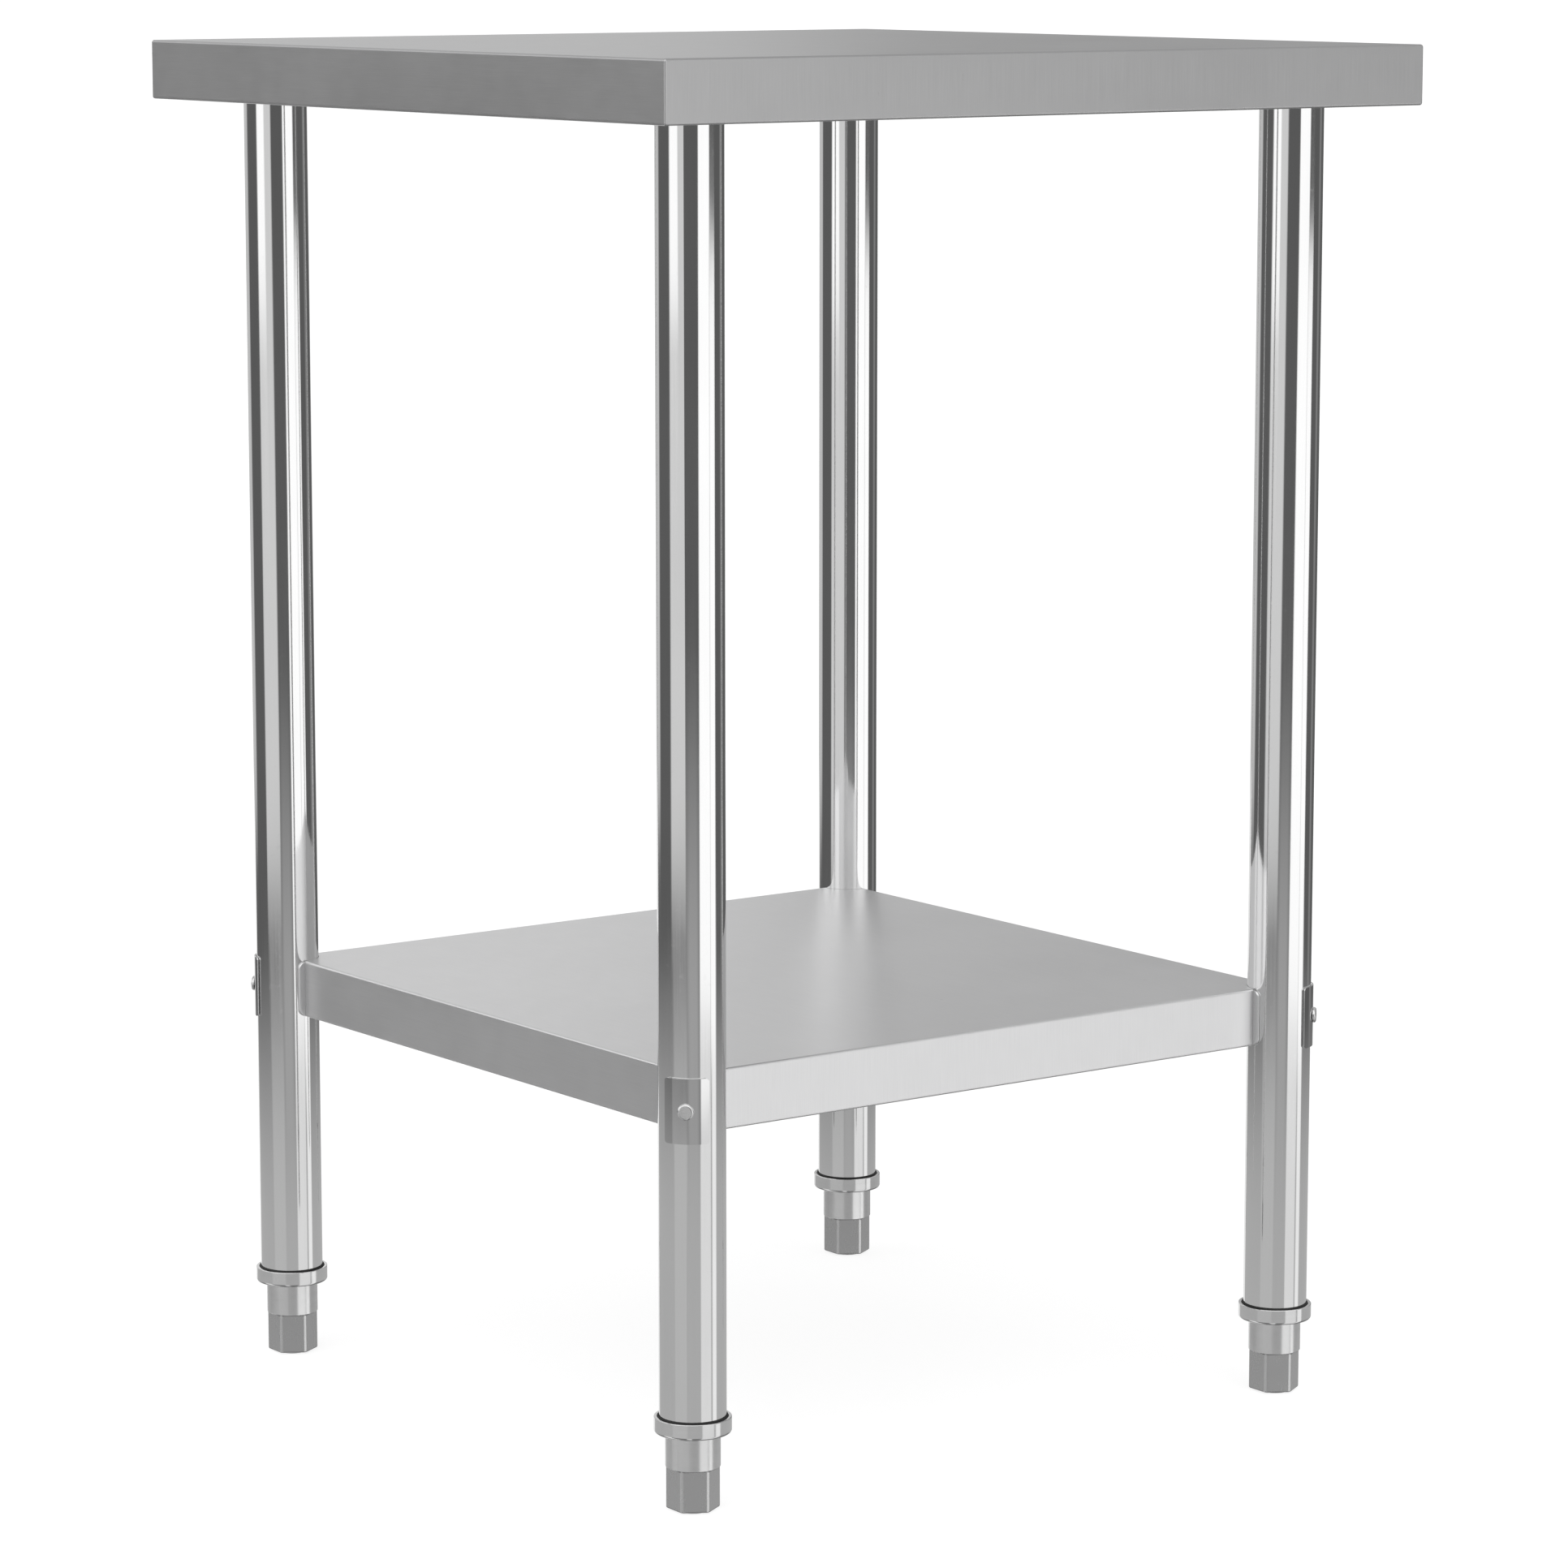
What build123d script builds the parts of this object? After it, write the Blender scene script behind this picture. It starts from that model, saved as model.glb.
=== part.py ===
from build123d import *
import math
import os

# Stainless work table with a square worktop, an undershelf and four round legs on levelling feet.
# Millimetres, +Z up, origin on the floor under the middle of the table.

# ---- driving dimensions -------------------------------------------------------------------------
TABLE_SIDE = 600.0
TABLE_HEIGHT = 900.0
LEG_INSET = 60.0

TOP_SKIRT = 39.2
TOP_LIP = 15.0
SHELF_TOP = 277.2
SHELF_SKIRT = 38.7
SHELF_LIP = 12.0
SHEET = 1.2
TOP_BEND = 1.6
SHELF_BEND = 1.6
CORNER_ROUND = 1.2

LEG_OD = 42.4
LEG_WALL = 1.2

# hat channels under the worktop and under the shelf
CHANNEL_SHEET = 1.5
TOP_CHANNEL_LENGTH = 560.0
TOP_CHANNEL_CROWN = 76.0
TOP_CHANNEL_WIDTH = 112.0
TOP_CHANNEL_DEPTH = 10.0
SHELF_CHANNEL_LENGTH = 450.0
SHELF_CHANNEL_CROWN = 60.0
SHELF_CHANNEL_WIDTH = 100.0
SHELF_CHANNEL_DEPTH = 16.0

# leg sockets
SOCKET_BASE = 72.0
SOCKET_BASE_THICKNESS = 4.0
SOCKET_BASE_ROUND = 8.0
SOCKET_RING_OD = 54.0
SOCKET_RING_BOTTOM_ABOVE_SKIRT = 2.0
SOCKET_CLEARANCE = 0.2
SOCKET_HOLE_SPACING = 54.0
LEG_TOP_GAP = 0.5

# M6 fasteners
M6_SHANK = 6.0
M6_HOLE = 6.6
M6_HEAD = 10.0
M6_HEAD_HEIGHT = 6.0
M6_KEY = 5.0
M6_KEY_DEPTH = 3.0
M6_NUT_FLATS = 10.0
M6_NUT_HEIGHT = 5.0
M6_WASHER_OD = 12.0
M6_WASHER = 1.6
M6_FLANGE_OD = 13.0
M6_FLANGE = 1.4
THREAD_STAND_OUT = 2.0
STUD_LENGTH = 11.0
STUD_ROW = 120.0

# M8 set screw in each socket
SET_SCREW = 8.0
SET_SCREW_LENGTH = 8.0
SET_SCREW_KEY = 4.0
SET_SCREW_KEY_DEPTH = 4.0
SLIP = 0.05

# clamp of the shelf on each leg
CORNER_PLATE = 1.5
CORNER_PLATE_HALF_ANGLE = 61.0
CORNER_PLATE_ROUND = 5.0
CORNER_PLATE_EDGE = 0.6
SADDLE = 1.5
SADDLE_HEIGHT = 41.0
SADDLE_HALF_ANGLE = 41.0
SADDLE_ROUND = 2.0
SADDLE_EDGE = 1.0
PLATE_CLEARANCE = 0.1
CLAMP_HEAD = 10.4
CLAMP_HEAD_HEIGHT = 2.1
CLAMP_HEAD_RIM_ROUND = 1.4

# levelling foot, from the floor up
GLIDE = 24.0
GLIDE_PROUD = 1.0
GLIDE_DISC = 3.9
GLIDE_STEM = 8.0
GLIDE_STEM_LENGTH = 3.6
HEX_FLATS = 30.0
HEX_CORNER_ROUND = 3.0
HEX_TOP = 27.65
HEX_BOTTOM_ROUND = 1.2
HEX_TOP_CHAMFER = 0.4
NECK_OD = 34.8
NECK_BOTTOM = 27.8
NECK_CHAMFER = 0.5
COLLAR_OD = 48.8
COLLAR_BOTTOM = 49.8
COLLAR_TOP = 60.1
COLLAR_ROUND = 1.8
COLLAR_RIM_ROUND = 0.4
CUP_DEPTH = 8.1
CUP_GAP = 1.0
SEAL_PROUD = 0.8
SEAL_LIP_ROUND = 0.4
PLUG_TOP = 92.0
PLUG_CLEARANCE = 0.2
PLUG_CHAMFER = 1.5
STUD_OD = 16.0
STUD_BOTTOM = 11.0
STUD_TOP = 85.0
STUD_CHAMFER = 1.0
RUNNING_CLEARANCE = 0.08

# ---- places worked out from them ----------------------------------------------------------------
LEG_AXIS = TABLE_SIDE / 2 - LEG_INSET
LEG_R = LEG_OD / 2
SKIRT_BOTTOM = TABLE_HEIGHT - TOP_SKIRT
SHEET_UNDERSIDE = TABLE_HEIGHT - SHEET
CROWN_UNDERSIDE = SHEET_UNDERSIDE - TOP_CHANNEL_DEPTH
SOCKET_BOTTOM = SKIRT_BOTTOM + SOCKET_RING_BOTTOM_ABOVE_SKIRT
SHELF_SIDE = 2 * LEG_AXIS
SHELF_BOTTOM = SHELF_TOP - SHELF_SKIRT
CLAMP_MIDDLE = SHELF_TOP - SHELF_SKIRT / 2
CORNER_PLATE_OUTER = LEG_R + PLATE_CLEARANCE + CORNER_PLATE
SADDLE_OUTER = LEG_R + PLATE_CLEARANCE + SADDLE
CUP_FLOOR = COLLAR_TOP - CUP_DEPTH

# a cylinder or a block stands on its base
ON_BASE = (Align.CENTER, Align.CENTER, Align.MIN)

# name of each leg, and the signs of its X and Y
LEGS = {
    "front_right": (-1, -1),
    "front_left": (-1, 1),
    "back_right": (1, -1),
    "back_left": (1, 1),
}


# ---- small helpers ------------------------------------------------------------------------------
def cylinder(radius, bottom, top):
    """An upright cylinder on the Z axis between two heights."""
    return Pos(0, 0, bottom) * Cylinder(radius, top - bottom, align=ON_BASE)


def block(length, width, bottom, top):
    """An upright block centred on the Z axis between two heights."""
    return Pos(0, 0, bottom) * Box(length, width, top - bottom, align=ON_BASE)


def hexagon(flats, bottom, top):
    """An upright hexagonal prism with one pair of flats facing along X."""
    outline = RegularPolygon(flats / 2, 6, major_radius=False, rotation=30)
    return Pos(0, 0, bottom) * extrude(outline, top - bottom)


def at_leg(shape, signs):
    """Moves a shape from the Z axis to a leg, turned so that its +X side faces out along the diagonal."""
    outward = math.degrees(math.atan2(signs[1], signs[0]))
    return Pos(signs[0] * LEG_AXIS, signs[1] * LEG_AXIS, 0) * Rot(0, 0, outward) * shape


def group(shapes):
    """Separate solids kept together as one node."""
    return Compound(children=list(shapes))


def level_edges(shape):
    """The lowest and the highest edges of a shape, which lie level."""
    groups = shape.edges().group_by(Axis.Z)
    return groups[0] + groups[-1]


def write(name, shape):
    export_step(shape, f"parts/{name}.step")


# ---- folded sheets ------------------------------------------------------------------------------
def rounded_block(side, bottom, top, bend):
    """A square block whose upright edges and level edges are rounded as bent sheet is."""
    body = block(side, side, bottom, top)
    body = fillet(body.edges().filter_by(Axis.Z), CORNER_ROUND)
    return fillet(level_edges(body), bend)


def folded_pan(side, top, skirt, lip, bend):
    """A sheet folded down on four sides, with a return lip along the bottom of each skirt."""
    outside = rounded_block(side, top - skirt, top, bend)
    inside_side = side - 2 * SHEET
    inside = block(inside_side, inside_side, top - skirt + SHEET, top - SHEET)
    inside = fillet(level_edges(inside), bend - SHEET)
    opening_side = side - 2 * lip
    opening = block(opening_side, opening_side, top - skirt - SHEET, top - skirt / 2)
    return outside - inside - opening


def hat_channel(length, crown, width, depth, sheet_top):
    """A hat channel along Y, its two wings flat against the sheet above and its crown below."""
    half_crown = crown / 2
    half_width = width / 2
    bottom = sheet_top - depth
    outline = [
        (-half_width, sheet_top),
        (-half_width, sheet_top - CHANNEL_SHEET),
        (-half_crown, sheet_top - CHANNEL_SHEET),
        (-half_crown, bottom),
        (half_crown, bottom),
        (half_crown, sheet_top - CHANNEL_SHEET),
        (half_width, sheet_top - CHANNEL_SHEET),
        (half_width, sheet_top),
        (half_crown - CHANNEL_SHEET, sheet_top),
        (half_crown - CHANNEL_SHEET, bottom + CHANNEL_SHEET),
        (-half_crown + CHANNEL_SHEET, bottom + CHANNEL_SHEET),
        (-half_crown + CHANNEL_SHEET, sheet_top),
    ]
    section = make_face(Plane.XZ * Polyline(*outline, close=True))
    return Pos(0, length / 2, 0) * extrude(section, length, dir=(0, -1, 0))


def curved_plate(thickness, half_angle, bottom, top, corner, edge):
    """A plate rolled round the leg, centred on +X, its corners and its outer edge rounded."""
    inner_radius = LEG_R + PLATE_CLEARANCE
    ring = cylinder(inner_radius + thickness, bottom, top) - cylinder(inner_radius, bottom, top)
    reach = 2 * inner_radius * math.sin(math.radians(half_angle))
    window = Rectangle(reach, top - bottom)
    window = fillet(window.vertices(), corner)
    facing_x = Plane(origin=(0, 0, (bottom + top) / 2), x_dir=(0, 1, 0), z_dir=(1, 0, 0))
    plate = ring & extrude(facing_x * window, 2 * LEG_OD)
    outer_face = plate.faces().filter_by(GeomType.CYLINDER).sort_by(SortBy.AREA)[-1]
    return fillet(outer_face.edges(), edge)


# ---- worktop ------------------------------------------------------------------------------------
def socket_holes():
    """Centres of the four screws of a socket, about the socket's own axis."""
    half = SOCKET_HOLE_SPACING / 2
    return [(x, y) for x in (-half, half) for y in (-half, half)]


def channel_stud_places():
    """Centres of all the weld studs that hold the two channels of the worktop."""
    wing_middle = (TOP_CHANNEL_CROWN + TOP_CHANNEL_WIDTH) / 4
    return [
        (side * LEG_AXIS + wing, row)
        for side in (-1, 1)
        for wing in (-wing_middle, wing_middle)
        for row in (-STUD_ROW, STUD_ROW)
    ]


def socket_screw_places():
    """Centres of all the screws of the four sockets."""
    return [
        (signs[0] * LEG_AXIS + x, signs[1] * LEG_AXIS + y)
        for signs in LEGS.values()
        for x, y in socket_holes()
    ]


def make_top_channel(side):
    channel = hat_channel(
        TOP_CHANNEL_LENGTH, TOP_CHANNEL_CROWN, TOP_CHANNEL_WIDTH, TOP_CHANNEL_DEPTH, SHEET_UNDERSIDE
    )
    channel = Pos(side * LEG_AXIS, 0, 0) * channel
    drill = cylinder(M6_HOLE / 2, CROWN_UNDERSIDE - SHEET, TABLE_HEIGHT)
    for x, y in socket_screw_places() + channel_stud_places():
        if x * side > 0:
            channel -= Pos(x, y, 0) * drill
    return channel


def make_socket():
    """Cast socket on the Z axis: a square base against the channel and a ring round the leg."""
    base = block(SOCKET_BASE, SOCKET_BASE, CROWN_UNDERSIDE - SOCKET_BASE_THICKNESS, CROWN_UNDERSIDE)
    base = fillet(base.edges().filter_by(Axis.Z), SOCKET_BASE_ROUND)
    ring = cylinder(SOCKET_RING_OD / 2, SOCKET_BOTTOM, CROWN_UNDERSIDE)
    socket = base + ring
    socket -= cylinder(LEG_R + SOCKET_CLEARANCE, SOCKET_BOTTOM, CROWN_UNDERSIDE)
    for x, y in socket_holes():
        socket -= Pos(x, y, 0) * cylinder(M6_HOLE / 2, SOCKET_BOTTOM, CROWN_UNDERSIDE)
    return socket


def set_screw_bore(radius, start, length):
    """A radial cylinder at the set screw's height, pointing along -X, towards the table's middle."""
    height = (SOCKET_BOTTOM + CROWN_UNDERSIDE - SOCKET_BASE_THICKNESS) / 2
    return Plane(origin=(-start, 0, height), z_dir=(-1, 0, 0)) * Cylinder(radius, length, align=ON_BASE)


def make_set_screw():
    screw = set_screw_bore(SET_SCREW / 2, LEG_R + SLIP, SET_SCREW_LENGTH)
    key_start = LEG_R + SLIP + SET_SCREW_LENGTH - SET_SCREW_KEY_DEPTH
    key = extrude(RegularPolygon(SET_SCREW_KEY / 2, 6, major_radius=False), SET_SCREW_KEY_DEPTH)
    height = (SOCKET_BOTTOM + CROWN_UNDERSIDE - SOCKET_BASE_THICKNESS) / 2
    return screw - Plane(origin=(-key_start, 0, height), z_dir=(-1, 0, 0)) * key


def make_socket_screw():
    """Socket head screw, head down, on the Z axis."""
    seat = CROWN_UNDERSIDE - SOCKET_BASE_THICKNESS
    tip = CROWN_UNDERSIDE + CHANNEL_SHEET + M6_NUT_HEIGHT + THREAD_STAND_OUT
    head = cylinder(M6_HEAD / 2, seat - M6_HEAD_HEIGHT, seat)
    shank = cylinder(M6_SHANK / 2, seat, tip)
    key = hexagon(M6_KEY, seat - M6_HEAD_HEIGHT, seat - M6_HEAD_HEIGHT + M6_KEY_DEPTH)
    return head + shank - key


def make_socket_nut():
    seat = CROWN_UNDERSIDE + CHANNEL_SHEET
    nut = hexagon(M6_NUT_FLATS, seat, seat + M6_NUT_HEIGHT)
    return nut - cylinder(M6_SHANK / 2 + SLIP, seat, seat + M6_NUT_HEIGHT)


def make_channel_stud():
    return cylinder(M6_SHANK / 2, SHEET_UNDERSIDE - STUD_LENGTH, SHEET_UNDERSIDE)


def make_channel_nut():
    """Flange nut that draws a wing of the channel against the worktop."""
    seat = SHEET_UNDERSIDE - CHANNEL_SHEET
    flange = cylinder(M6_FLANGE_OD / 2, seat - M6_FLANGE, seat)
    nut = hexagon(M6_NUT_FLATS, seat - M6_FLANGE - M6_NUT_HEIGHT, seat - M6_FLANGE)
    return flange + nut - cylinder(M6_SHANK / 2 + SLIP, seat - M6_FLANGE - M6_NUT_HEIGHT, seat)


# ---- legs and levelling feet --------------------------------------------------------------------
def clamp_bore(radius):
    """A hole right across the leg at the middle of the shelf clamp, along X."""
    return Plane(origin=(0, 0, CLAMP_MIDDLE), z_dir=(1, 0, 0)) * Cylinder(radius, 4 * LEG_OD)


def make_leg():
    top = CROWN_UNDERSIDE - LEG_TOP_GAP
    tube = cylinder(LEG_R, CUP_FLOOR, top) - cylinder(LEG_R - LEG_WALL, CUP_FLOOR, top)
    return tube - clamp_bore(M6_HOLE / 2)


def make_foot_insert():
    """Turned insert: plug inside the tube, cup-shaped collar round its end, neck and threaded bore."""
    collar = cylinder(COLLAR_OD / 2, COLLAR_BOTTOM, COLLAR_TOP)
    collar = fillet(collar.edges().group_by(Axis.Z)[0], COLLAR_ROUND)
    collar -= cylinder(LEG_R + CUP_GAP, CUP_FLOOR, COLLAR_TOP)
    collar = fillet(collar.edges().group_by(Axis.Z)[-1], COLLAR_RIM_ROUND)
    neck = cylinder(NECK_OD / 2, NECK_BOTTOM, COLLAR_BOTTOM + COLLAR_ROUND)
    neck = chamfer(neck.edges().group_by(Axis.Z)[0], NECK_CHAMFER)
    plug = cylinder(LEG_R - LEG_WALL - PLUG_CLEARANCE, COLLAR_BOTTOM + COLLAR_ROUND, PLUG_TOP)
    plug = chamfer(plug.edges().group_by(Axis.Z)[-1], PLUG_CHAMFER)
    bore = cylinder(STUD_OD / 2 + RUNNING_CLEARANCE, NECK_BOTTOM, PLUG_TOP)
    return collar + neck + plug - bore


def make_tube_seal():
    """Rubber ring that closes the gap between the tube and the cup round its end."""
    top = COLLAR_TOP + SEAL_PROUD
    ring = cylinder(LEG_R + CUP_GAP - SLIP, CUP_FLOOR, top)
    ring = fillet(ring.edges().group_by(Axis.Z)[-1], SEAL_LIP_ROUND)
    return ring - cylinder(LEG_R + SLIP, CUP_FLOOR, top)


def make_foot_stud():
    stud = cylinder(STUD_OD / 2, STUD_BOTTOM, STUD_TOP)
    return chamfer(stud.edges().group_by(Axis.Z)[-1], STUD_CHAMFER)


def make_foot_hex():
    """Hexagonal foot, with a blind hole for the stud above and a recess for the glide below."""
    body = hexagon(HEX_FLATS, GLIDE_PROUD, HEX_TOP)
    body = fillet(body.edges().filter_by(Axis.Z), HEX_CORNER_ROUND)
    body = fillet(body.edges().group_by(Axis.Z)[0], HEX_BOTTOM_ROUND)
    body = chamfer(body.edges().group_by(Axis.Z)[-1], HEX_TOP_CHAMFER)
    recess_top = GLIDE_DISC + 2 * SLIP
    body -= cylinder(STUD_OD / 2, STUD_BOTTOM, HEX_TOP)
    body -= cylinder(GLIDE / 2 + RUNNING_CLEARANCE, GLIDE_PROUD, recess_top)
    stem_hole_top = recess_top + GLIDE_STEM_LENGTH + SLIP
    body -= cylinder(GLIDE_STEM / 2 + RUNNING_CLEARANCE, recess_top, stem_hole_top)
    return body


def make_foot_glide():
    disc = cylinder(GLIDE / 2, 0, GLIDE_DISC)
    disc = fillet(disc.edges().group_by(Axis.Z)[0], GLIDE_PROUD / 2)
    return disc + cylinder(GLIDE_STEM / 2, GLIDE_DISC, GLIDE_DISC + GLIDE_STEM_LENGTH)


# ---- shelf and its clamps -----------------------------------------------------------------------
def make_shelf_sheet():
    shelf = folded_pan(SHELF_SIDE, SHELF_TOP, SHELF_SKIRT, SHELF_LIP, SHELF_BEND)
    notch = cylinder(CORNER_PLATE_OUTER + SLIP, SHELF_BOTTOM - SHEET, SHELF_TOP + SHEET)
    for signs in LEGS.values():
        shelf -= at_leg(notch, signs)
    return shelf


def make_shelf_channel():
    sheet_underside = SHELF_TOP - SHEET
    return hat_channel(
        SHELF_CHANNEL_LENGTH,
        SHELF_CHANNEL_CROWN,
        SHELF_CHANNEL_WIDTH,
        SHELF_CHANNEL_DEPTH,
        sheet_underside,
    )


def make_shelf_corner():
    """Curved plate on the inner side of the leg, on the -X side of the Z axis."""
    plate = curved_plate(
        CORNER_PLATE,
        CORNER_PLATE_HALF_ANGLE,
        SHELF_BOTTOM,
        SHELF_TOP,
        CORNER_PLATE_ROUND,
        CORNER_PLATE_EDGE,
    )
    return Rot(0, 0, 180) * plate - clamp_bore(M6_HOLE / 2)


def make_saddle():
    """Curved plate on the outer side of the leg, on the +X side of the Z axis."""
    bottom = CLAMP_MIDDLE - SADDLE_HEIGHT / 2
    top = CLAMP_MIDDLE + SADDLE_HEIGHT / 2
    plate = curved_plate(SADDLE, SADDLE_HALF_ANGLE, bottom, top, SADDLE_ROUND, SADDLE_EDGE)
    return plate - clamp_bore(M6_HOLE / 2)


def make_clamp_bolt():
    """Bolt across the leg, turned about its own axis, its low round-rimmed head outside the saddle."""
    tip = CORNER_PLATE_OUTER + M6_WASHER + M6_NUT_HEIGHT + THREAD_STAND_OUT
    crown = SADDLE_OUTER + CLAMP_HEAD_HEIGHT
    outline = Polyline(
        (crown, 0),
        (-tip, 0),
        (-tip, M6_SHANK / 2),
        (SADDLE_OUTER, M6_SHANK / 2),
        (SADDLE_OUTER, CLAMP_HEAD / 2),
        (crown, CLAMP_HEAD / 2),
        close=True,
    )
    bolt = revolve(make_face(outline), Axis.X)
    crown_rim = bolt.edges().filter_by(GeomType.CIRCLE).sort_by(Axis.X)[-1]
    return Pos(0, 0, CLAMP_MIDDLE) * fillet(crown_rim, CLAMP_HEAD_RIM_ROUND)


def inward_plane(distance):
    """A plane facing the table's middle, a distance inside the leg's axis at the clamp's height."""
    return Plane(origin=(-distance, 0, CLAMP_MIDDLE), x_dir=(0, 1, 0), z_dir=(-1, 0, 0))


def make_clamp_washer():
    ring = Circle(M6_WASHER_OD / 2) - Circle(M6_SHANK / 2 + SLIP)
    return extrude(inward_plane(CORNER_PLATE_OUTER) * ring, M6_WASHER)


def make_clamp_nut():
    outline = RegularPolygon(M6_NUT_FLATS / 2, 6, major_radius=False) - Circle(M6_SHANK / 2 + SLIP)
    return extrude(inward_plane(CORNER_PLATE_OUTER + M6_WASHER) * outline, M6_NUT_HEIGHT)


# ---- everything in its place --------------------------------------------------------------------
def main():
    os.makedirs("parts", exist_ok=True)

    write("top_sheet", folded_pan(TABLE_SIDE, TABLE_HEIGHT, TOP_SKIRT, TOP_LIP, TOP_BEND))
    write("top_channel_front", make_top_channel(-1))
    write("top_channel_back", make_top_channel(1))
    write("top_channel_studs", group(Pos(x, y, 0) * make_channel_stud() for x, y in channel_stud_places()))
    write("top_channel_nuts", group(Pos(x, y, 0) * make_channel_nut() for x, y in channel_stud_places()))
    write("socket_screws", group(Pos(x, y, 0) * make_socket_screw() for x, y in socket_screw_places()))
    write("socket_nuts", group(Pos(x, y, 0) * make_socket_nut() for x, y in socket_screw_places()))
    write("socket_set_screws", group(at_leg(make_set_screw(), signs) for signs in LEGS.values()))

    write("shelf_sheet", make_shelf_sheet())
    write("shelf_channel", make_shelf_channel())
    write("clamp_bolts", group(at_leg(make_clamp_bolt(), signs) for signs in LEGS.values()))
    write("clamp_washers", group(at_leg(make_clamp_washer(), signs) for signs in LEGS.values()))
    write("clamp_nuts", group(at_leg(make_clamp_nut(), signs) for signs in LEGS.values()))

    thread = set_screw_bore(SET_SCREW / 2 + SLIP, LEG_R, SOCKET_RING_OD)
    for name, signs in LEGS.items():
        place = Pos(signs[0] * LEG_AXIS, signs[1] * LEG_AXIS, 0)
        socket = place * make_socket() - at_leg(thread, signs)
        write(f"leg_socket_{name}", socket)
        write(f"leg_{name}", at_leg(make_leg(), signs))
        write(f"shelf_corner_{name}", at_leg(make_shelf_corner(), signs))
        write(f"clamp_saddle_{name}", at_leg(make_saddle(), signs))
        write(f"foot_insert_{name}", place * make_foot_insert())
        write(f"tube_seal_{name}", place * make_tube_seal())
        write(f"foot_stud_{name}", place * make_foot_stud())
        write(f"foot_hex_{name}", place * make_foot_hex())
        write(f"foot_glide_{name}", place * make_foot_glide())


main()
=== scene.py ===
import math

import bmesh
import bpy
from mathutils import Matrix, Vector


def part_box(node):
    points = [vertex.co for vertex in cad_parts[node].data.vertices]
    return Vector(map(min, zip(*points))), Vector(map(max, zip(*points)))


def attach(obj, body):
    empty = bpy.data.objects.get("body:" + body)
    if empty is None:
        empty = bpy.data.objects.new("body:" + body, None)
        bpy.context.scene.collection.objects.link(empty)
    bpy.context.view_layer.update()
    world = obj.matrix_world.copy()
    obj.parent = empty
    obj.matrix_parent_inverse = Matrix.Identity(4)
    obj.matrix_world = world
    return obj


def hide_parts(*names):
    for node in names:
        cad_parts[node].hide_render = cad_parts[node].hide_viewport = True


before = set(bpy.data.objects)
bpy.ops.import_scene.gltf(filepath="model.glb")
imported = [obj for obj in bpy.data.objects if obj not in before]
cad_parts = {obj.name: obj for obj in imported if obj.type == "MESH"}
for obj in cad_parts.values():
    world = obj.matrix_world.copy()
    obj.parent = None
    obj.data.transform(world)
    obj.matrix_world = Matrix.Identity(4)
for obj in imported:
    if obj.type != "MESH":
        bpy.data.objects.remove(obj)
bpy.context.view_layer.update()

LEGS = ("front_right", "front_left", "back_right", "back_left")

# ---- camera -------------------------------------------------------------------------------------
# Metres and degrees. The heading is from +X towards +Y, and the tilt is from the horizon.
CAMERA_PLACE = (-2.164, -2.962, 0.984)
CAMERA_HEADING = 53.77
CAMERA_TILT = -8.97
CAMERA_LENS = 126.7
CAMERA_REACH = 200.0
QUARTER_TURN = 90

# ---- studio -------------------------------------------------------------------------------------
# Directions in degrees: heading from +X towards +Y, and height above the horizon.
SURROUND = 0.12
CEILING = 0.56
CEILING_FROM = -1.0
CEILING_TO = 20.0
GROUND = 0.49
GROUND_FROM = -9.3
GROUND_TO = -13.6
NEAR_GROUND = 0.22
NEAR_GROUND_FROM = -20.0
NEAR_GROUND_TO = -25.0
BACKDROP = 1.0
HALF_CIRCLE = 180.0

# name: heading, half width, side softness, lowest, highest, softness up and down, brightness
PANELS = {
    "key_box": (282.0, 20.0, 6.0, -11.7, 14.0, 1.2, 1.25),
    "key_box_foot": (282.0, 20.0, 6.0, -60.0, -10.0, 2.0, 0.84),
    "key_glow": (285.0, 30.0, 20.0, 4.0, 30.0, 4.0, 1.0),
    "second_box": (312.0, 11.0, 6.0, -12.0, -3.3, 0.9, 1.25),
    "second_box_foot": (315.0, 10.0, 8.0, -60.0, -10.0, 2.0, 1.0),
    "side_box": (180.0, 16.0, 9.0, -4.3, 30.0, 0.8, 1.25),
    "side_box_flap": (191.5, 28.0, 8.0, -10.3, 30.0, 2.0, 0.74),
    "side_floor": (196.0, 30.0, 20.0, -21.0, -11.0, 4.0, 0.56),
    "left_glow": (140.0, 20.0, 12.0, 3.0, 34.0, 4.0, 1.2),
    "back_box": (52.0, 14.0, 10.0, -9.5, 0.0, 2.0, 0.85),
    "back_wall": (86.0, 25.0, 14.0, -9.5, 2.0, 2.0, 0.6),
    "back_glow": (92.0, 39.0, 4.0, 0.0, 34.0, 4.0, 0.77),
    "back_dim": (20.0, 34.0, 6.0, 0.0, 34.0, 4.0, 0.24),
    "far_strip": (358.0, 9.0, 10.0, -60.0, 4.0, 2.0, 0.24),
    "front_top": (225.0, 70.0, 30.0, 18.0, 85.0, 10.0, 1.25),
    "front_floor": (240.0, 24.0, 30.0, -21.0, -8.5, 6.0, 0.42),
    "low_back_box": (66.0, 20.0, 6.0, -70.0, -8.5, 2.0, 0.92),
    "low_side_box": (152.0, 15.0, 6.0, -70.0, -17.5, 3.0, 0.95),
    "low_front_box": (222.0, 10.0, 8.0, -70.0, -21.0, 4.0, 0.7),
}

FLOOR_HALF_SIDE = 60.0
FLOOR_GLOW = 0.81
FLOOR_WHITE = 0.35

# ---- materials ----------------------------------------------------------------------------------
# A noise lies mostly between these two values.
NOISE_LOW = 0.3
NOISE_HIGH = 0.7

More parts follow.
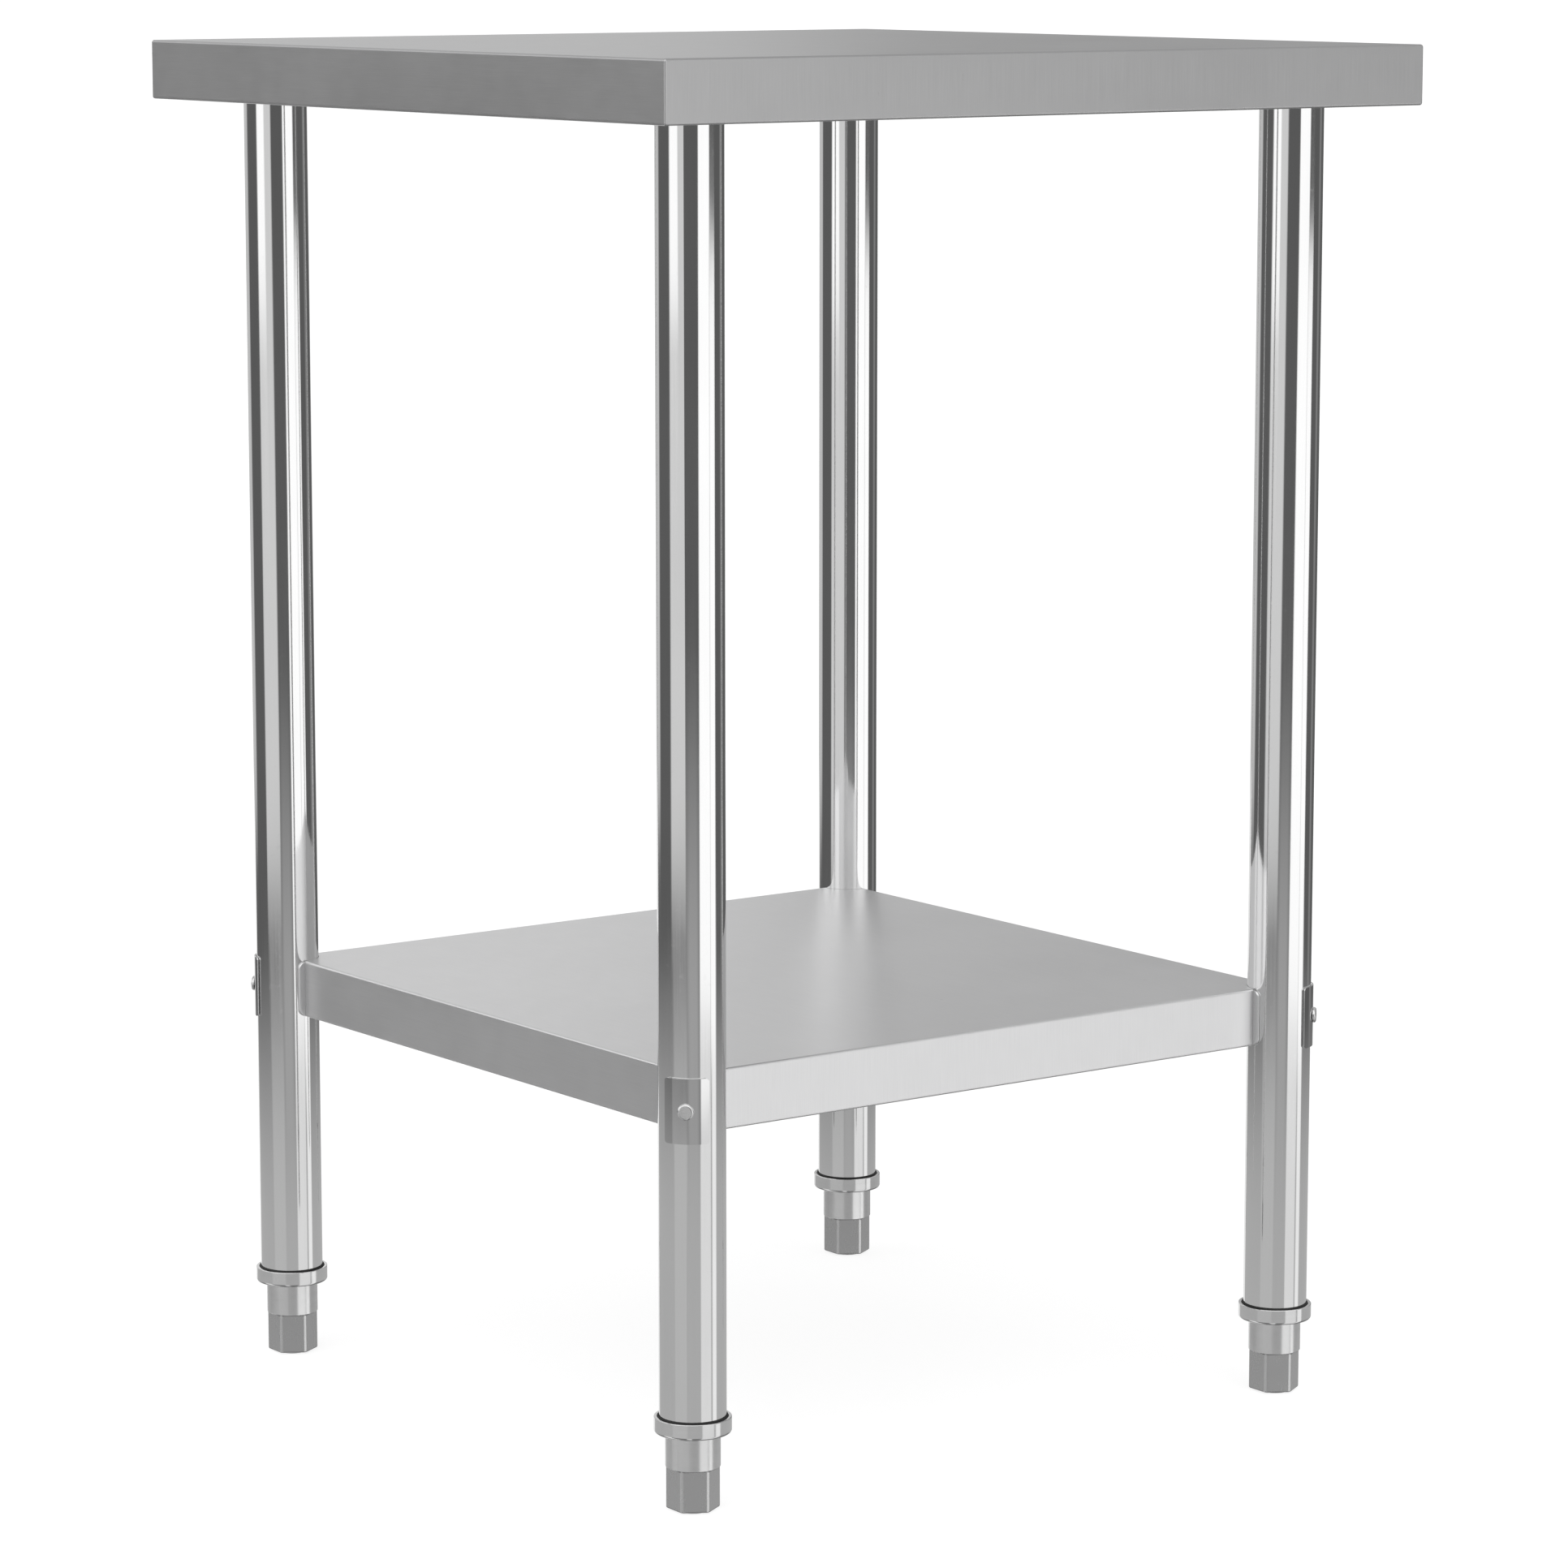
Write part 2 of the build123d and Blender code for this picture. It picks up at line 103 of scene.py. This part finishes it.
# Worktop and shelf are one satin stainless. The worktop's much darker tone is painted shade, for the
# dimmer light that its flat top reflects.
WORKTOP_PAINTED_SHADE_TONE = 0.51
SHELF_TONE = 0.8
TUBE_TONE = 0.79
TUBE_ROUGHNESS = 0.068
PLATE_TONE = 0.73
PLATE_ROUGHNESS = 0.05
PLATE_LEAN = 0.009

# The part of a unit normal above which a face is taken to look along that axis.
FACES_AXIS = 0.7
# Height of the underside of the turned collar, and half the height over which the finish changes.
COLLAR_BOTTOM = 0.0498
COLLAR_BLEND = 0.0015

# ---- threads of the levelling feet --------------------------------------------------------------
THREAD_PITCH = 0.002
THREAD_DEPTH = 0.0012
THREAD_SIDES = 40
# The top end narrows by this much, at 45 degrees.
THREAD_TIP = 0.001
# One more turn is made at each end than the stud is long, and is then cut off flat.
SPARE_TURNS = 1
# share of a pitch, and share of the thread's depth there
THREAD_SHAPE = ((0.0, 0.0), (0.18, 0.0), (0.5, 1.0), (0.68, 1.0))
SAME_PLACE = 1e-6
CUT_TOLERANCE = 1e-7


class Nodes:
    """A node tree, with a short way to add nodes that are linked or set as they are made."""

    def __init__(self, tree):
        self.tree = tree
        tree.nodes.clear()

    def add(self, kind, output=0, inputs=None, **settings):
        node = self.tree.nodes.new("ShaderNode" + kind)
        for name, value in settings.items():
            setattr(node, name, value)
        for name, value in (inputs or {}).items():
            if isinstance(value, bpy.types.NodeSocket):
                self.tree.links.new(value, node.inputs[name])
            else:
                node.inputs[name].default_value = value
        return node.outputs[output] if node.outputs else node

    def math(self, operation, first, second=0.0, third=0.0):
        return self.add("Math", inputs={0: first, 1: second, 2: third}, operation=operation)

    def between(self, value, start, end, low=0.0, high=1.0, smooth=False):
        """Maps start..end to low..high, and stays at low and high outside it."""
        inputs = {"Value": value, "From Min": start, "From Max": end, "To Min": low, "To Max": high}
        kind = "SMOOTHSTEP" if smooth else "LINEAR"
        return self.add("MapRange", inputs=inputs, interpolation_type=kind)

    def spread(self, noise, low, high):
        """Maps the usual range of a noise to low..high."""
        return self.between(noise, NOISE_LOW, NOISE_HIGH, low, high)

    def vary(self, value, noise, span):
        """The value, moved up or down by up to span where the noise is high or low."""
        return self.math("ADD", value, self.spread(noise, -span, span))

    def parts(self, vector):
        """The X, Y and Z of a vector."""
        return self.add("SeparateXYZ", inputs={"Vector": vector}).node.outputs

    def vector(self, x, y, z):
        return self.add("CombineXYZ", inputs={"X": x, "Y": y, "Z": z})

    def noise(self, where, scale, detail=2.0, rough=0.5):
        inputs = {"Vector": where, "Scale": scale, "Detail": detail, "Roughness": rough}
        return self.add("TexNoise", inputs=inputs)

    def stretch(self, where, x, y, z):
        return self.add("Mapping", inputs={"Vector": where, "Scale": (x, y, z)})

    def turn(self, where, rotation, scale):
        return self.add("Mapping", inputs={"Vector": where, "Rotation": rotation, "Scale": scale})

    def bump(self, height, distance, normal=None):
        inputs = {"Height": height, "Distance": distance}
        if normal:
            inputs["Normal"] = normal
        return self.add("Bump", inputs=inputs)

    def grey(self, value, red=1.0, green=1.0, blue=1.0):
        """A colour from a grey value and a slight tint."""
        return self.add(
            "CombineColor",
            inputs={
                "Red": self.math("MULTIPLY", value, red),
                "Green": self.math("MULTIPLY", value, green),
                "Blue": self.math("MULTIPLY", value, blue),
            },
        )


# ---- making the studio --------------------------------------------------------------------------
def panel(nodes, light, heading, height, panel_values):
    """The light so far, or the panel's own where that is brighter."""
    centre, half_width, side_soft, lowest, highest, level_soft, brightness = panel_values
    away = nodes.math("WRAP", nodes.math("SUBTRACT", heading, centre), HALF_CIRCLE, -HALF_CIRCLE)
    away = nodes.math("ABSOLUTE", away)
    across = nodes.between(away, half_width + side_soft / 2, half_width - side_soft / 2, smooth=True)
    above = nodes.between(height, lowest - level_soft / 2, lowest + level_soft / 2, smooth=True)
    below = nodes.between(height, highest + level_soft / 2, highest - level_soft / 2, smooth=True)
    mask = nodes.math("MULTIPLY", across, nodes.math("MULTIPLY", above, below))
    return nodes.math("MAXIMUM", light, nodes.math("MULTIPLY", mask, brightness))


def make_studio():
    """Soft boxes round a dim room. What the camera sees directly is plain white."""
    world = bpy.data.worlds.new("studio")
    world.use_nodes = True
    bpy.context.scene.world = world
    nodes = Nodes(world.node_tree)
    direction = nodes.parts(nodes.add("TexCoord", output="Generated"))
    heading = nodes.math("DEGREES", nodes.math("ARCTAN2", direction["Y"], direction["X"]))
    height = nodes.math("DEGREES", nodes.math("ARCSINE", direction["Z"]))
    light = nodes.between(height, CEILING_FROM, CEILING_TO, SURROUND, CEILING, smooth=True)
    ground = nodes.between(height, GROUND_FROM, GROUND_TO, 0.0, GROUND, smooth=True)
    nearer = nodes.between(height, NEAR_GROUND_FROM, NEAR_GROUND_TO, GROUND, NEAR_GROUND, smooth=True)
    light = nodes.math("MAXIMUM", light, nodes.math("MINIMUM", ground, nearer))
    for values in PANELS.values():
        light = panel(nodes, light, heading, height, values)
    seen = nodes.add("LightPath", output="Is Camera Ray")
    light = nodes.add("Mix", inputs={"Factor": seen, "A": light, "B": BACKDROP}, data_type="FLOAT")
    background = nodes.add("Background", inputs={"Color": nodes.grey(light)})
    nodes.add("OutputWorld", inputs={"Surface": background})


def make_floor_material():
    """White that also glows, so that the floor stays pale where the object shades it."""
    material = bpy.data.materials.new("studio_floor")
    material.use_nodes = True
    nodes = Nodes(material.node_tree)
    white = nodes.add("BsdfDiffuse", inputs={"Color": (FLOOR_WHITE, FLOOR_WHITE, FLOOR_WHITE, 1.0)})
    glow = nodes.add("Emission", inputs={"Strength": FLOOR_GLOW})
    surface = nodes.add("AddShader", inputs={0: white, 1: glow})
    nodes.add("OutputMaterial", inputs={"Surface": surface})
    return material


def make_floor(material):
    """A pale floor under each foot, which follows that foot down where the foot is screwed out."""
    for name in LEGS:
        low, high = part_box(f"foot_glide_{name}")
        middle = (low + high) / 2
        reach_x = math.copysign(FLOOR_HALF_SIDE, middle.x)
        reach_y = math.copysign(FLOOR_HALF_SIDE, middle.y)
        corners = [(0, 0, 0), (reach_x, 0, 0), (reach_x, reach_y, 0), (0, reach_y, 0)]
        if reach_x * reach_y < 0:
            corners.reverse()
        mesh = bpy.data.meshes.new(f"floor_{name}")
        mesh.from_pydata(corners, [], [(0, 1, 2, 3)])
        mesh.materials.append(material)
        floor = bpy.data.objects.new(f"floor_{name}", mesh)
        bpy.context.scene.collection.objects.link(floor)
        floor.visible_glossy = False
        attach(floor, f"glide_{name}")


def make_camera():
    """A camera that is not turned looks straight down with +Y up, hence the quarter turns."""
    data = bpy.data.cameras.new("camera")
    data.lens = CAMERA_LENS
    data.clip_end = CAMERA_REACH
    camera = bpy.data.objects.new("camera", data)
    camera.location = CAMERA_PLACE
    pitch = math.radians(QUARTER_TURN + CAMERA_TILT)
    yaw = math.radians(CAMERA_HEADING - QUARTER_TURN)
    camera.rotation_euler = (pitch, 0, yaw)
    bpy.context.scene.collection.objects.link(camera)
    bpy.context.scene.camera = camera
    bpy.context.scene.view_settings.view_transform = "Standard"


# ---- making the materials -----------------------------------------------------------------------
def start_material(name):
    """A new material, its nodes, and the place on the object in metres."""
    material = bpy.data.materials.new(name)
    material.use_nodes = True
    nodes = Nodes(material.node_tree)
    where = nodes.add("TexCoord", output="Object")
    return material, nodes, where


def finish_material(nodes, colour, roughness, normal, metallic=1.0):
    inputs = {"Base Color": colour, "Roughness": roughness, "Normal": normal, "Metallic": metallic}
    shader = nodes.add("BsdfPrincipled", inputs=inputs)
    nodes.add("OutputMaterial", inputs={"Surface": shader})


def along_the_fold(nodes, where):
    """Across and along the grain of a folded sheet, which lies along Y on the flat.

    The grain turns down over the folds with the metal, so a skirt reads Z where the flat reads
    X or Y.
    """
    faces = nodes.parts(nodes.add("TexCoord", output="Normal"))
    place = nodes.parts(where)
    faces_x = nodes.math("GREATER_THAN", nodes.math("ABSOLUTE", faces["X"]), FACES_AXIS)
    faces_y = nodes.math("GREATER_THAN", nodes.math("ABSOLUTE", faces["Y"]), FACES_AXIS)
    across = nodes.add("Mix", inputs={"Factor": faces_x, "A": place["X"], "B": place["Z"]})
    along = nodes.add("Mix", inputs={"Factor": faces_y, "A": place["Y"], "B": place["Z"]})
    return across, along


def satin_stainless(name, tone):
    """Sheet with a fine straight grain, a little haze and a few hairline scratches."""
    material, nodes, where = start_material(name)
    across, along = along_the_fold(nodes, where)
    grain_stretch = 0.012
    grain_place = nodes.vector(across, nodes.math("MULTIPLY", along, grain_stretch), 0.0)
    fine = nodes.noise(grain_place, scale=2600.0, detail=3.0, rough=0.6)
    coarse = nodes.noise(grain_place, scale=420.0)
    haze = nodes.noise(where, scale=9.0, detail=4.0, rough=0.55)
    spots = nodes.noise(where, scale=70.0, detail=3.0)
    waves = nodes.noise(where, scale=6.0)
    scratch_place = nodes.turn(where, rotation=(0.3, 0.2, 0.7), scale=(900.0, 14.0, 60.0))
    scratch = nodes.between(nodes.noise(scratch_place, scale=1.0, detail=0.0), start=0.8, end=0.86)
    scratch_polish = 0.05
    tone_span = 0.012
    value = nodes.spread(haze, low=tone - tone_span, high=tone + tone_span)
    value = nodes.vary(value, coarse, span=0.004)
    value = nodes.vary(value, fine, span=0.02)
    roughness = nodes.spread(haze, low=0.33, high=0.36)
    spotting = nodes.between(spots, start=0.35, end=0.65, low=-0.01, high=0.01)
    roughness = nodes.math("ADD", roughness, spotting)
    roughness = nodes.vary(roughness, fine, span=0.02)
    roughness = nodes.math("SUBTRACT", roughness, nodes.math("MULTIPLY", scratch, scratch_polish))
    normal = nodes.bump(fine, distance=0.000002)
    normal = nodes.bump(coarse, distance=0.0000008, normal=normal)
    normal = nodes.bump(waves, distance=0.0003, normal=normal)
    finish_material(nodes, nodes.grey(value, blue=1.005), roughness, normal)
    return material


def polished_stainless(name, tone, mean_roughness, lean=0.0):
    """Bright tube or plate: a slight draw along its length, patches of haze, faint marks.

    A clamped plate leans back a little, and lean is its slope.
    """
    material, nodes, where = start_material(name)
    drawn = nodes.noise(nodes.stretch(where, 1.0, 1.0, 0.02), scale=700.0, detail=3.0, rough=0.6)
    haze = nodes.noise(nodes.stretch(where, 1.0, 1.0, 0.35), scale=28.0, detail=4.0, rough=0.6)
    dents = nodes.noise(nodes.stretch(where, 1.0, 1.0, 0.25), scale=40.0)
    marks = nodes.noise(where, scale=260.0)
    haze_span = 0.015
    value = nodes.spread(haze, low=tone - haze_span, high=tone + haze_span)
    value = nodes.vary(value, drawn, span=0.008)
    lowest = mean_roughness - haze_span
    highest = mean_roughness + haze_span
    roughness = nodes.spread(haze, low=lowest, high=highest)
    roughness = nodes.vary(roughness, drawn, span=0.008)
    marking = nodes.between(marks, start=0.62, end=0.75, high=0.02)
    roughness = nodes.math("ADD", roughness, marking)
    normal = nodes.bump(drawn, distance=0.0000005)
    normal = nodes.bump(dents, distance=0.000005, normal=normal)
    if lean:
        height = nodes.parts(where)["Z"]
        normal = nodes.bump(nodes.math("MULTIPLY", height, -lean), distance=1.0, normal=normal)
    finish_material(nodes, nodes.grey(value), roughness, normal)
    return material


def turned_stainless():
    """Turned insert: a polished collar, a duller neck below it, and fine rings round the axis."""
    material, nodes, where = start_material("turned_stainless")
    height = nodes.parts(where)["Z"]
    collar = nodes.between(height, COLLAR_BOTTOM - COLLAR_BLEND, COLLAR_BOTTOM + COLLAR_BLEND)
    collar_polish = 0.11
    rings = nodes.noise(nodes.stretch(where, 0.02, 0.02, 1.0), scale=2200.0, rough=0.6)
    bands = nodes.noise(nodes.stretch(where, 0.03, 0.03, 1.0), scale=330.0, detail=1.0)
    haze = nodes.noise(where, scale=60.0, detail=3.0)
    value = nodes.spread(haze, low=0.74, high=0.78)
    value = nodes.vary(value, rings, span=0.012)
    roughness = nodes.spread(bands, low=0.19, high=0.23)
    roughness = nodes.vary(roughness, rings, span=0.015)
    roughness = nodes.math("SUBTRACT", roughness, nodes.math("MULTIPLY", collar, collar_polish))
    normal = nodes.bump(rings, distance=0.0000015)
    finish_material(nodes, nodes.grey(value), roughness, normal)
    return material


def drawn_stainless():
    """Hexagonal bar: draw lines along its length and a duller skin."""
    material, nodes, where = start_material("drawn_stainless_bar")
    lines = nodes.noise(nodes.stretch(where, 1.0, 1.0, 0.03), scale=1500.0, detail=3.0, rough=0.6)
    haze = nodes.noise(where, scale=90.0, detail=4.0, rough=0.6)
    value = nodes.spread(haze, low=0.64, high=0.67)
    value = nodes.vary(value, lines, span=0.014)
    roughness = nodes.spread(haze, low=0.23, high=0.28)
    roughness = nodes.vary(roughness, lines, span=0.02)
    normal = nodes.bump(lines, distance=0.0000015)
    finish_material(nodes, nodes.grey(value), roughness, normal)
    return material


def galvanised_steel():
    """Zinc spangle: flat crystals of slightly different greys and gloss."""
    material, nodes, where = start_material("galvanised_sheet")
    swirl = nodes.add("TexNoise", output="Color", inputs={"Vector": where, "Scale": 60.0})
    swirl_reach = (0.008, 0.008, 0.008)
    warped = nodes.add("VectorMath", inputs={0: swirl, 1: swirl_reach, 2: where}, operation="MULTIPLY_ADD")
    crystal = nodes.add("TexVoronoi", output="Color", inputs={"Vector": warped, "Scale": 95.0})
    shade = nodes.add("SeparateColor", inputs={"Color": crystal}).node.outputs
    specks = nodes.noise(where, scale=900.0, detail=3.0)
    value = nodes.between(shade["Red"], start=0.0, end=1.0, low=0.5, high=0.66)
    value = nodes.vary(value, specks, span=0.02)
    roughness = nodes.between(shade["Green"], start=0.0, end=1.0, low=0.34, high=0.52)
    normal = nodes.bump(specks, distance=0.000012)
    finish_material(nodes, nodes.grey(value, red=0.985, blue=1.015), roughness, normal)
    return material


def cast_aluminium():
    """Blasted casting: fine pits and soft mottling."""
    material, nodes, where = start_material("cast_aluminium")
    pits = nodes.noise(where, scale=1300.0, detail=3.0, rough=0.65)
    mottle = nodes.noise(where, scale=80.0, detail=4.0)
    value = nodes.spread(mottle, low=0.58, high=0.66)
    value = nodes.vary(value, pits, span=0.04)
    roughness = nodes.spread(pits, low=0.42, high=0.56)
    normal = nodes.bump(pits, distance=0.00005)
    finish_material(nodes, nodes.grey(value), roughness, normal)
    return material


def fastener_steel():
    """Small bright parts: rolled and tumbled, with slight marks."""
    material, nodes, where = start_material("fastener_steel")
    marks = nodes.noise(where, scale=800.0, detail=3.0, rough=0.6)
    haze = nodes.noise(where, scale=120.0)
    value = nodes.spread(haze, low=0.7, high=0.76)
    value = nodes.vary(value, marks, span=0.03)
    roughness = nodes.spread(marks, low=0.16, high=0.28)
    normal = nodes.bump(marks, distance=0.000006)
    finish_material(nodes, nodes.grey(value), roughness, normal)
    return material


def glide_plastic():
    """Moulded nylon: dark, matt, with a fine spark-eroded texture."""
    material, nodes, where = start_material("glide_plastic")
    texture = nodes.noise(where, scale=1800.0)
    scuff = nodes.noise(where, scale=160.0, detail=4.0, rough=0.6)
    value = nodes.between(scuff, start=0.35, end=0.7, low=0.022, high=0.04)
    roughness = nodes.spread(scuff, low=0.48, high=0.62)
    normal = nodes.bump(texture, distance=0.00003)
    finish_material(nodes, nodes.grey(value), roughness, normal, metallic=0.0)
    return material


def seal_rubber():
    """A near-black ring, matt, slightly mottled, with a fine skin, that paints the shade of the gap
    between tube and collar.
    """
    material, nodes, where = start_material("seal_rubber")
    skin = nodes.noise(where, scale=1500.0, detail=3.0)
    bloom = nodes.noise(where, scale=140.0, detail=3.0)
    value = nodes.spread(bloom, low=0.01, high=0.018)
    roughness = nodes.spread(bloom, low=0.6, high=0.75)
    normal = nodes.bump(skin, distance=0.00002)
    finish_material(nodes, nodes.grey(value), roughness, normal, metallic=0.0)
    return material


def dress_cad_nodes():
    """Gives every CAD node its finished material by its kind, and returns that of the fasteners."""
    # The worktop gets a darker tone than the shelf as painted shade.
    worktop = satin_stainless("satin_stainless_worktop_painted_shade", WORKTOP_PAINTED_SHADE_TONE)
    shelf = satin_stainless("satin_stainless_shelf", SHELF_TONE)
    tube = polished_stainless("polished_stainless_tube", TUBE_TONE, TUBE_ROUGHNESS)
    plate = polished_stainless("polished_stainless_plate", PLATE_TONE, PLATE_ROUGHNESS, PLATE_LEAN)
    turned = turned_stainless()
    drawn = drawn_stainless()
    zinc = galvanised_steel()
    cast = cast_aluminium()
    bright = fastener_steel()
    plastic = glide_plastic()
    gap_shade_material = seal_rubber()
    # A node's kind is the first of these that its name starts with.
    kinds = {
        "top_sheet": worktop,
        "shelf_sheet": shelf,
        "shelf_corner": shelf,
        "clamp_saddle": plate,
        "leg_socket": cast,
        "leg": tube,
        "foot_insert": turned,
        "foot_hex": drawn,
        "foot_glide": plastic,
        "foot_stud": bright,
        # The near-black ring in the gap between tube and collar is painted shade for that gap.
        "tube_seal": gap_shade_material,
        "top_channel_studs": bright,
        "top_channel_nuts": bright,
        "top_channel": zinc,
        "shelf_channel": zinc,
        "socket_": bright,
        "clamp_": bright,
    }
    for name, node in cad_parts.items():
        kind = next(kind for kind in kinds if name.startswith(kind))
        for slot in node.material_slots:
            slot.material = kinds[kind]
    return bright


# ---- making the threads -------------------------------------------------------------------------
def thread_rows(body, low, high):
    """Rows of points that climb round the stud's axis, each a share of a pitch above the last."""
    centre = (low + high) / 2
    radius = (high.x - low.x) / 2
    turns = math.ceil((high.z - low.z) / THREAD_PITCH) + 2 * SPARE_TURNS
    rows = []
    for turn in range(turns):
        for share, depth in THREAD_SHAPE:
            row = []
            for side in range(THREAD_SIDES + 1):
                angle = 2 * math.pi * side / THREAD_SIDES
                height = low.z + THREAD_PITCH * (turn - SPARE_TURNS + share + side / THREAD_SIDES)
                tip_reach = radius - THREAD_TIP + max(high.z - height, 0)
                reach = min(radius - depth * THREAD_DEPTH, tip_reach)
                x = centre.x + reach * math.cos(angle)
                y = centre.y + reach * math.sin(angle)
                row.append(body.verts.new((x, y, height)))
            rows.append(row)
    return rows


def cut_flat(body, height, way):
    """Cuts off what lies beyond a height, up or down by the sign of way, and closes the end."""
    everything = body.verts[:] + body.edges[:] + body.faces[:]
    bmesh.ops.bisect_plane(
        body,
        geom=everything,
        plane_co=(0, 0, height),
        plane_no=(0, 0, way),
        clear_outer=True,
        dist=CUT_TOLERANCE,
    )
    open_edges = [edge for edge in body.edges if edge.is_boundary]
    rim = [edge for edge in open_edges if abs(edge.verts[0].co.z - height) < SAME_PLACE]
    bmesh.ops.contextual_create(body, geom=rim)


def make_thread(name, material):
    """The screwed stud of a foot, its thread cut as a helix, in place of the plain CAD rod."""
    low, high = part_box(f"foot_stud_{name}")
    body = bmesh.new()
    rows = thread_rows(body, low, high)
    for lower, upper in zip(rows, rows[1:]):
        for side in range(THREAD_SIDES):
            body.faces.new((lower[side], lower[side + 1], upper[side + 1], upper[side]))
    bmesh.ops.remove_doubles(body, verts=body.verts, dist=SAME_PLACE)
    cut_flat(body, low.z, -1)
    cut_flat(body, high.z, 1)
    bmesh.ops.recalc_face_normals(body, faces=body.faces)
    mesh = bpy.data.meshes.new(f"foot_thread_{name}")
    body.to_mesh(mesh)
    body.free()
    mesh.materials.append(material)
    thread = bpy.data.objects.new(f"foot_thread_{name}", mesh)
    bpy.context.scene.collection.objects.link(thread)
    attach(thread, f"foot_{name}")
    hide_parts(f"foot_stud_{name}")


make_camera()
make_studio()
make_floor(make_floor_material())
bright_steel = dress_cad_nodes()
for leg in LEGS:
    make_thread(leg, bright_steel)
